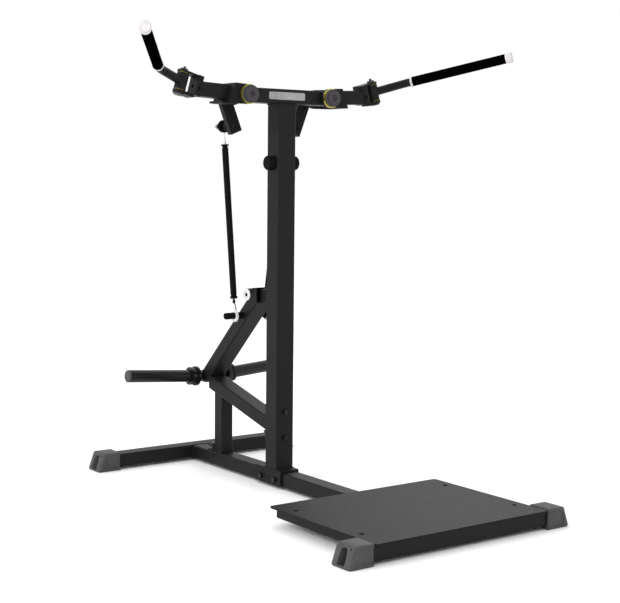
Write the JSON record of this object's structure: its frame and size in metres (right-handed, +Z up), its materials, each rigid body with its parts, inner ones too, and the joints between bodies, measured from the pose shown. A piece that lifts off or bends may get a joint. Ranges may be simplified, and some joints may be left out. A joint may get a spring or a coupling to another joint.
{
  "type": "two-arm standing resistance machine",
  "caption": "Standing strength machine: column on a T base with a deck, plate horns on a rear brace, and sprung wing arms with swivelling grips.",
  "frame": {"origin": "on the floor, under the centre of the whole machine's box", "axes": "+X to the side of the right arm for a user who stands on the deck facing the column, +Y to the machine's rear, +Z up"},
  "size_m": [1.6482, 1.726, 1.6778],
  "materials": {
    "powder_steel": "fine matte powder coat",
    "deck_paint": "textured powder coat",
    "foot_rubber": "matte moulded rubber",
    "black_rubber": "matte",
    "alloy": "polished",
    "bright_steel": "bright plated",
    "brass": "plain",
    "cap_paint": "satin",
    "white_nylon": "smooth"
  },
  "bodies": {
    "frame": {"rear_cross_beam": "powder_steel", "rear_spine": "powder_steel", "front_spine": "powder_steel", "front_cross_beam": "powder_steel", "spine_sleeve": "powder_steel", "deck_rails": "powder_steel", "deck_plate": "deck_paint", "column_foot": "powder_steel", "frame_bolts": "powder_steel", "column": "powder_steel", "brace_flange": "powder_steel", "lower_brace": "powder_steel", "upper_brace": "powder_steel", "brace_cross_head": "powder_steel", "peg_discs": "white_nylon", "rear_post": "powder_steel", "post_plates": "powder_steel", "horn_left": "powder_steel", "horn_right": "powder_steel", "horn_collars": "powder_steel", "horn_caps": "foot_rubber", "spring_pegs": "black_rubber", "spring_hooks": "bright_steel", "crossbar": "powder_steel", "pivot_bushes": "brass", "column_bumpers": "black_rubber", "feet_front": "foot_rubber", "feet_rear": "foot_rubber"},
    "arm_left": {"arm_fork_left": "powder_steel", "arm_tube_left": "powder_steel", "arm_yoke_left": "powder_steel", "arm_shaft_left": "bright_steel", "pivot_ring_left": "brass", "pivot_cap_left": "cap_paint", "lever_left": "powder_steel", "lever_pin_left": "bright_steel", "lever_roller_left": "black_rubber", "swivel_pin_left": "cap_paint"},
    "handle_left": {"handle_tube_left": "powder_steel", "handle_bushes_left": "brass", "handle_grip_left": "black_rubber", "handle_caps_left": "alloy"},
    "sleeve_left": {"spring_sleeve_left": "black_rubber"},
    "rod_left": {"spring_rod_left": "bright_steel"},
    "arm_right": {"arm_fork_right": "powder_steel", "arm_tube_right": "powder_steel", "arm_yoke_right": "powder_steel", "arm_shaft_right": "bright_steel", "pivot_ring_right": "brass", "pivot_cap_right": "cap_paint", "lever_right": "powder_steel", "lever_pin_right": "bright_steel", "lever_roller_right": "black_rubber", "swivel_pin_right": "cap_paint"},
    "handle_right": {"handle_tube_right": "powder_steel", "handle_bushes_right": "brass", "handle_grip_right": "black_rubber", "handle_caps_right": "alloy"},
    "sleeve_right": {"spring_sleeve_right": "black_rubber"},
    "rod_right": {"spring_rod_right": "bright_steel"}
  },
  "joints": [
    {"name": "left_arm_pivot", "type": "hinge", "parent": "frame", "child": "arm_left", "pos_m": [-0.1875, 0.197, 1.488], "axis": [0, -1, 0], "range_deg": [0, 114], "stiffness_Nm_per_rad": 8, "springref_deg": -143.24},
    {"name": "left_handle_swivel", "type": "hinge", "parent": "arm_left", "child": "handle_left", "pos_m": [-0.438, 0.197, 1.524], "axis": [-0.2756, 0, -0.9613], "range_deg": [0, 60]},
    {"name": "left_spring_tilt", "type": "hinge", "parent": "frame", "child": "sleeve_left", "pos_m": [-0.077, 0.403, 0.706], "axis": [0, -1, 0], "range_deg": [-3.99, 0.1]},
    {"name": "left_spring_stretch", "type": "slide", "parent": "sleeve_left", "child": "rod_left", "axis": [-0.0993, -0.04, 0.9943], "range_m": [-0.0005, 0.1925]},
    {"name": "right_arm_pivot", "type": "hinge", "parent": "frame", "child": "arm_right", "pos_m": [0.1875, 0.197, 1.488], "axis": [0, 1, 0], "range_deg": [0, 114], "stiffness_Nm_per_rad": 8, "springref_deg": -143.24},
    {"name": "right_handle_swivel", "type": "hinge", "parent": "arm_right", "child": "handle_right", "pos_m": [0.438, 0.197, 1.524], "axis": [-0.2756, 0, 0.9613], "range_deg": [0, 60]},
    {"name": "right_spring_tilt", "type": "hinge", "parent": "frame", "child": "sleeve_right", "pos_m": [0.077, 0.403, 0.706], "axis": [0, 1, 0], "range_deg": [-3.99, 0.1]},
    {"name": "right_spring_stretch", "type": "slide", "parent": "sleeve_right", "child": "rod_right", "axis": [0.0993, -0.04, 0.9943], "range_m": [-0.0005, 0.1925]}
  ],
  "couplings": [
    {"joint": "left_spring_tilt", "follows": "left_arm_pivot", "ratio": -0.034104},
    {"joint": "left_spring_stretch", "follows": "left_arm_pivot", "m_per_rad": 0.096509},
    {"joint": "right_spring_tilt", "follows": "right_arm_pivot", "ratio": -0.034104},
    {"joint": "right_spring_stretch", "follows": "right_arm_pivot", "m_per_rad": 0.096509}
  ]
}
